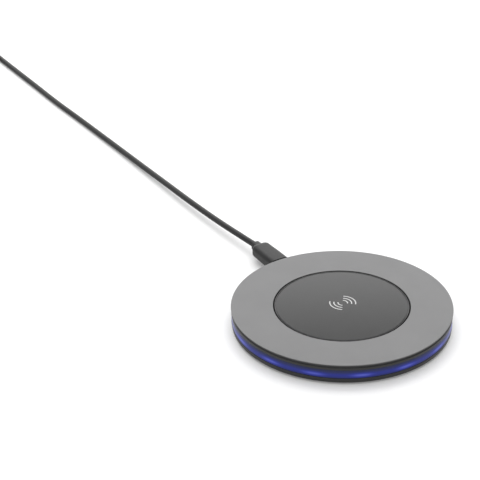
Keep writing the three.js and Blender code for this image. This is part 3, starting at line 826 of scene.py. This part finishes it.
def add_usb_a_plug():
    """USB-A plug at the cord's far end: moulded grip with a ribbed relief, metal shell and four contacts."""
    x, z, back, front, neck, tip = (USB_A[key] for key in ("x", "z", "back", "front", "neck", "tip"))
    stations = [
        (front, 7.5, 3.75, 0), (front + 0.25, 7.75, 4.0, 0.2), (front + 9, 7.75, 4.0, 10),
        (back - 1.6, 7.2, 3.75, 1.6), (back, 5.2, 3.3, 1.0), (back + 0.5, 3.15, 2.8, 0.4),
    ]
    ridge = 3.05
    for i in range(4):
        start = back + 1.2 + 1.7 * i
        stations += [
            (start, ridge, ridge - 0.3, 0.15), (start + 0.9, ridge - 0.06, ridge - 0.36, 0.15),
            (start + 1.0, ridge - 0.55, ridge - 0.8, 0.1), (start + 1.6, ridge - 0.57, ridge - 0.82, 0.1),
        ]
        ridge -= 0.2
    stations += [(neck - 0.5, 2.2, 2.0, 0.3), (neck, 1.8, 1.7, 0)]
    grip = bar_along_y(stations, 0.6, (x, z), 8)
    new_piece("usb_plug_grip", *grip, "usb_cable", "cord_jacket", "cord_jacket", ["usb_a_grip"])
    shell = sheet_tube("usb_plug_shell", (x, z), 6.0, 2.25, 0.3, tip, front - 0.05, ["usb_a_shell"], 0.3)
    window_x, window_y = WINDOW_HALF_SIZE
    window_middle = front - WINDOW_FROM_GRIP
    for side in WINDOW_OFFSETS:
        low = (x + side - window_x, window_middle - window_y, z - 4)
        high = (x + side + window_x, window_middle + window_y, z + 4)
        carve(shell, tool_from(*block(low, high)))
    dress(shell, "usb_cable", "steel", ["usb_a_shell"])
    for number, side in enumerate(CONTACT_OFFSETS, 1):
        low = (x + side - CONTACT_HALF_WIDTH, tip + CONTACT_ALONG[0], z + CONTACT_Z[0])
        high = (x + side + CONTACT_HALF_WIDTH, tip + CONTACT_ALONG[1], z + CONTACT_Z[1])
        contact = box_piece(f"usb_contact_{number}", low, high, 0.04)
        dress(contact, "usb_cable", "gold")


def box_piece(name, low, high, edge):
    """A block with bevelled edges."""
    piece = new_piece(name, *block(low, high), None, None, None)
    work = bmesh.new()
    work.from_mesh(piece.data)
    bmesh.ops.bevel(work, geom=work.edges[:], offset=edge * MM, segments=3, profile=0.5, affect="EDGES")
    work.to_mesh(piece.data)
    work.free()
    tidy_mesh(piece)
    return piece


def add_tie():
    """Strap once round the coil's six turns."""
    centre_x, centre_y = COIL_CENTRE
    inner, outer = TIE_ALONG
    low, high = TIE_HEIGHT
    middle_y = centre_y + (inner + outer) / 2
    middle_z = (low + high) / 2
    loops = []
    for side, inset in ((-1, 0), (1, 0), (1, TIE_THICKNESS), (-1, TIE_THICKNESS)):
        half_y = (outer - inner) / 2 + TIE_THICKNESS - inset
        half_z = (high - low) / 2 + TIE_THICKNESS - inset
        outline = rounded_section(half_y, half_z, 0.52 - 0.25 * inset, 8)
        loops.append([(centre_x + side * TIE_WIDTH / 2, middle_y + y, middle_z + z) for y, z in outline])
    size = len(loops[0])
    vertices, faces = lofted(loops)
    faces = faces[:-2] + strip(3 * size, 0, size)
    new_piece("cable_tie_strap", vertices, faces, "usb_cable", "rubber", "tie", ["cable_tie"])


def paint_cad_nodes():
    """Every CAD node that is still shown takes the material of its slot."""
    slots = {part["node"]: part["material_slot"] for part in frame["record"]["subparts"]}
    for name, node in frame["nodes"].items():
        node.data.materials.clear()
        node.data.materials.append(looks[slots[name]])


# ---------------------------------------------------------------- surroundings

def add_floor():
    """Pale floor with a faint glow of its own, which keeps the shadows light."""
    material, shader = principled("floor", Roughness=0.6)
    tint = noise(material, 400, 2)
    link(material, ramp(material, tint, (0.3, grey(0.64)), (0.7, grey(0.65))), shader.inputs["Base Color"])
    shader.inputs["Specular IOR Level"].default_value = 0.2
    shader.inputs["Emission Color"].default_value = (1, 1, 1, 1)
    shader.inputs["Emission Strength"].default_value = FLOOR_GLOW
    mesh = bpy.data.meshes.new("floor")
    signs = ((-1, -1), (1, -1), (1, 1), (-1, 1))
    corners = [Vector((x * FLOOR_HALF, y * FLOOR_HALF, FLOOR_LEVEL)) * MM for x, y in signs]
    mesh.from_pydata(corners, [], [(0, 1, 2, 3)])
    mesh.materials.append(material)
    floor = bpy.data.objects.new("floor", mesh)
    bpy.context.scene.collection.objects.link(floor)


def add_panel(name, location, width, height, radiance):
    """A soft light panel that faces the pad."""
    data = bpy.data.lights.new(name, "AREA")
    data.shape = "RECTANGLE"
    data.size = width
    data.size_y = height
    data.energy = radiance * math.pi * width * height
    light = bpy.data.objects.new(name, data)
    light.location = location
    light.rotation_euler = (-Vector(location)).to_track_quat("-Z", "Y").to_euler()
    light.visible_camera = False
    bpy.context.scene.collection.objects.link(light)


def behind(distance, elevation):
    """A place behind the pad, seen from the camera, that many metres and degrees up from it."""
    level = distance * math.cos(math.radians(elevation))
    height = distance * math.sin(math.radians(elevation))
    return level * math.sin(CAMERA_HEADING), level * math.cos(CAMERA_HEADING), height


def add_lights():
    """Even pale surroundings, two panels behind the pad and one above it."""
    world = bpy.data.worlds.new("studio")
    world.use_nodes = True
    background = world.node_tree.nodes["Background"]
    background.inputs["Color"].default_value = (1, 1, 1, 1)
    background.inputs["Strength"].default_value = SURROUNDINGS
    bpy.context.scene.world = world
    add_panel("back_panel", behind(1.3, 16), 2.6, 0.72, 1.9)
    add_panel("main_panel", behind(1.6, 58), 2.0, 0.75, 2.5)
    add_panel("overhead", (0, 0.1, 1.5), 1.7, 1.7, 2.0)
    bpy.context.scene.view_settings.view_transform = "Standard"


# ---------------------------------------------------------------- build

add_camera()
cord, cord_exit, cord_length = add_cord()
add_trim_ring()
add_disc()
add_gasket()
add_symbol()
add_upper_housing()
add_light_guide()
add_lower_case()
add_feet()
add_micro_plug()
add_micro_tip()
add_usb_a_plug()
add_tie()
paint_cad_nodes()
add_floor()
add_lights()
